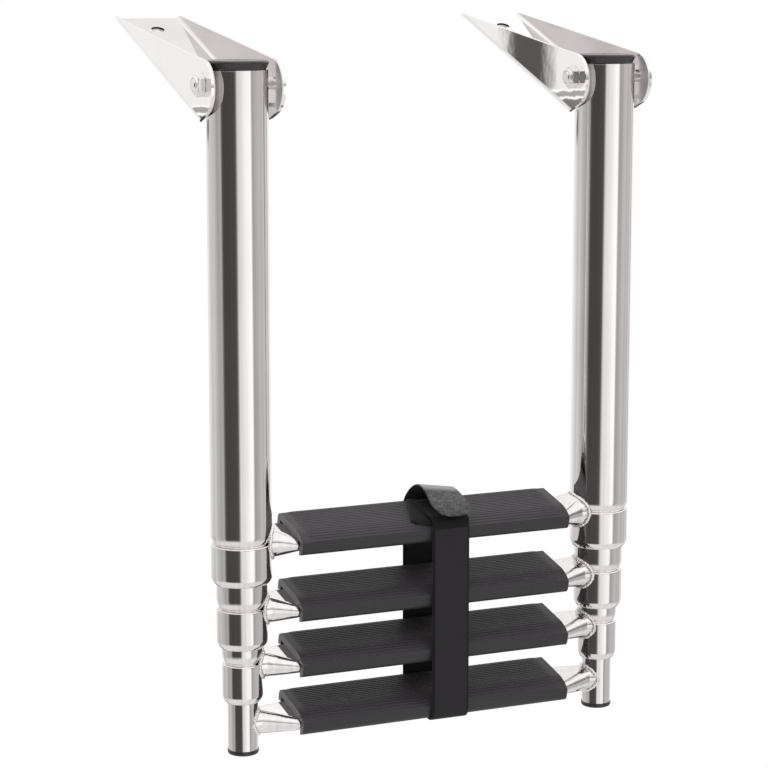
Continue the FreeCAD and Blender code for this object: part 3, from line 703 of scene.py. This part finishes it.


# The loop pile covers the outer face of the flap, rubbed up near the rounded tip, and is painted paler over
# the bend:
# a painted sheen. The far end of the webbing is the black hook side, painted near-black as the shade under
# the arch, and both edges of the webbing are painted near-black as shade along them.
# Pile, sheen and hook end each run so far from the tip, with a soft edge.
YARN = 0.00085
PILE_END = (0.046, 0.036)
RUBBED_END = (0.028, 0.016)
SHEEN_PAINTED_FROM = (0.0205, 0.0275)
EDGE_SHADE_WIDTHS = (0.0018, 0.0011)
SHADED_HOOK_END_FROM = 0.35
webbing, spot = blank_finish("woven_webbing")
from_tip, crosswise, _ = spot.node("ShaderNodeUVMap", {"uv_map": "threads"}).axes()
fuzz = noise(spot, 1000.0, 4.0)
tufts = noise(spot, 520.0, 3.0).step(0.36, 0.66)
warp = crosswise.sum_with("SINE", crosswise * (2 * math.pi / YARN))
weft = from_tip.sum_with("SINE", from_tip * (2 * math.pi / YARN))
weave = warp * weft * 0.5 + 0.5
outer_face = crosswise.step(0.0002, -0.0002)
pile = outer_face * from_tip.step(*PILE_END)
off_edge = STRAP_WIDTH / 2 - abs(abs(crosswise) - STRAP_WIDTH / 2)
# painted shade: within about 2 mm of either edge, the webbing is painted near-black as shade along its
# edges
edges_painted_shade = off_edge.step(*EDGE_SHADE_WIDTHS) * (1.0 - pile)
rubbed = pile * from_tip.step(*RUBBED_END)
# painted sheen: the pile is painted paler over the bend, where the arch's top catches the light
painted_sheen = pile * from_tip.step(*SHEEN_PAINTED_FROM)
# painted shade: from here to the far end, the hook side, the webbing is painted near-black, the shade under
# the arch
hook_end_painted_shade = from_tip.step(SHADED_HOOK_END_FROM - 0.001, SHADED_HOOK_END_FROM)
weave_tone = (fuzz * 0.6 + weave * 0.3).blend((0.008, 0.0068, 0.008, 1.0), (0.029, 0.026, 0.029, 1.0))
pile_tone = (painted_sheen + rubbed * tufts * 0.20 + fuzz * 0.08).blend(
    (0.036, 0.0345, 0.036, 1.0), (0.23, 0.225, 0.23, 1.0),
)
# painted shade: the edges and the hook end are painted near-black together
painted_dark_edges_and_end = edges_painted_shade + hook_end_painted_shade - edges_painted_shade * hook_end_painted_shade
close_finish(spot, {
    "Base Color": painted_dark_edges_and_end.blend(pile.blend(weave_tone, pile_tone), (0.003, 0.003, 0.003, 1.0)),
    "Roughness": 0.72 + fuzz * 0.2, "Sheen Weight": 0.06, "Specular IOR Level": 0.3,
    "Normal": dented(weave * 0.6 * (1.0 - pile) + fuzz * 0.5 + rubbed * tufts * 1.2, 0.55, 0.0003),
})


def strap_piece(name, left_places, right_places, left_round, right_round, beyond=0.0):
    """Webbing between two edges given as (across, behind the pivot line, height) in millimetres.

    Its threads count on from the given length beyond its far end.
    """
    edges = []
    for places in (left_places, right_places):
        edges.append(smooth_path([(x / 1000, PIVOT_LINE + back / 1000, z / 1000) for x, back, z in places]))
    count = min(len(edges[0]), len(edges[1]))
    left, right = (
        [edge[round(index * (len(edge) - 1) / (count - 1))] for index in range(count)] for edge in edges
    )
    piece = webbing_piece(name, left, right, left_round, right_round, beyond)
    piece.data.materials.append(webbing)
    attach(piece, "upper_section")
    return piece


# from the turn on tread 1 down the front, under tread 4, up the back and into the arch
WRAP = (
    (6.0, -279.6), (0.0, -281.6), (-7.5, -283.4), (-13.5, -284.3), (-18.5, -284.7), (-21.5, -286.4),
    (-22.0, -291.0), (-22.0, -305.0), (-22.0, -350.0), (-22.0, -400.0), (-22.0, -411.5), (-20.4, -417.0),
    (-13.5, -417.4), (4.0, -413.2), (19.0, -409.4), (22.6, -406.2), (23.0, -396.0), (23.0, -340.0),
    (23.0, -300.0), (23.0, -290.0),
)
LEFT_ARCH = (
    (23.0, -284.5), (21.6, -280.4), (16.2, -275.0), (9.7, -270.6), (3.4, -267.9), (-2.6, -267.3),
    (-8.2, -268.9), (-12.6, -271.8), (-16.8, -275.0), (-21.2, -277.8), (-24.4, -280.6), (-25.6, -283.8),
)
RIGHT_ARCH = (
    (23.0, -284.5), (20.5, -280.0), (14.5, -275.6), (8.0, -272.9), (2.0, -271.6), (-3.0, -271.9),
    (-8.0, -273.2), (-13.0, -274.6), (-18.0, -276.4), (-22.4, -278.8), (-25.0, -281.2), (-25.9, -283.9),
)
strap_left = STRAP_LEFT * 1000
strap_right = (STRAP_LEFT + STRAP_WIDTH) * 1000
strap = strap_piece(
    "webbing_strap",
    [(strap_left, *place) for place in WRAP + LEFT_ARCH],
    [(strap_right, *place) for place in WRAP + RIGHT_ARCH],
    TIP_ROUND_LEFT, TIP_ROUND_RIGHT,
)
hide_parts("strap")

# the folded end, its left edge from behind the turn to its tip, and the step from there to its right edge
TAIL_LEFT = (
    (117.4, 14.5, -280.3), (115.6, 9.0, -281.4), (112.9, 1.5, -283.1), (110.2, -6.0, -284.9),
    (108.3, -11.5, -286.7), (107.3, -15.0, -288.2),
)
TAIL_ACROSS = (23.8, -6.0, -1.6)
TAIL_ROUND = 0.003
TAIL_RIGHT = [[start + step for start, step in zip(place, TAIL_ACROSS)] for place in TAIL_LEFT]
strap_piece("webbing_tail", TAIL_LEFT, TAIL_RIGHT, TAIL_ROUND, TAIL_ROUND, beyond=SHADED_HOOK_END_FROM)
